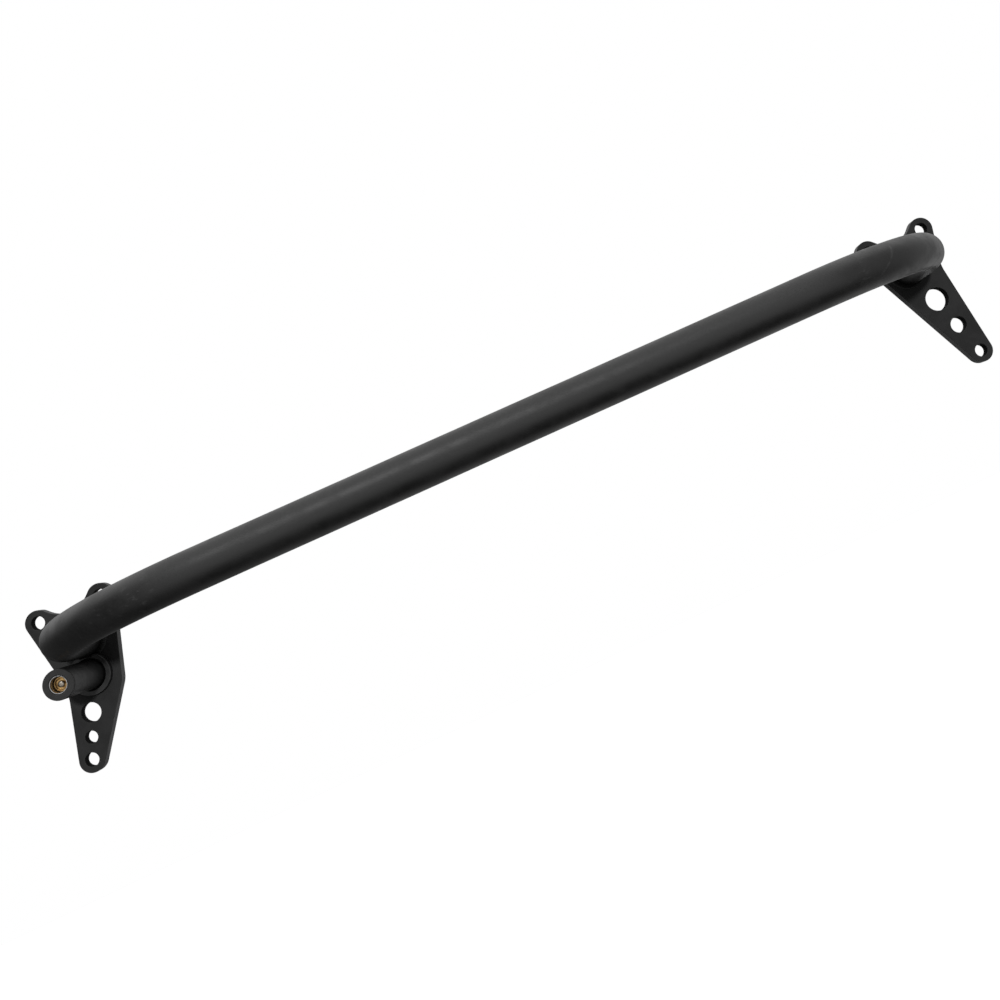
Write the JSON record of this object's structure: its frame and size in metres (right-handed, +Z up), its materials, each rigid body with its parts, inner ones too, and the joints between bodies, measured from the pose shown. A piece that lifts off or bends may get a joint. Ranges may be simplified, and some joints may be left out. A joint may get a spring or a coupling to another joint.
{
  "type": "pull up bar",
  "caption": "U-shaped steel pull-up bar whose two bent legs are welded to flat three-armed bolt-on plates, with a collared peg holding a spring plunger beside one leg.",
  "frame": {"origin": "in the plane of the plates' back faces, half-way between the two legs and level with the bar's axis", "axes": "+X along the bar towards the plate without the peg, +Y into the wall, +Z up"},
  "size_m": [1.048, 0.236, 0.174],
  "materials": {
    "bar_black": "satin black powder coat",
    "plate_black": "satin black powder coat on laser-cut plate",
    "weld_black": "rippled weld bead under satin black powder coat",
    "peg_black": "satin black coat on turned steel",
    "yellow_zinc": "polished yellow metal, turned",
    "bright_steel": "bright turned steel"
  },
  "bodies": {
    "frame": {"cross_bar": "bar_black", "left_mount_plate": "plate_black", "right_mount_plate": "plate_black", "left_leg_weld": "weld_black", "right_leg_weld": "weld_black", "peg_tube": "peg_black", "peg_collar": "peg_black", "peg_weld": "weld_black", "peg_end_bush": "peg_black", "plunger_sleeve": "bright_steel", "plunger_body": "yellow_zinc", "plunger_spring": "bright_steel", "plunger_plug": "yellow_zinc"},
    "plunger": {"plunger_pin": "bright_steel"}
  },
  "joints": [
    {"name": "plunger_slide", "type": "slide", "parent": "frame", "child": "plunger", "axis": [0, 1, 0], "range_m": [0, 0.003], "deforming": ["plunger_spring"]}
  ]
}
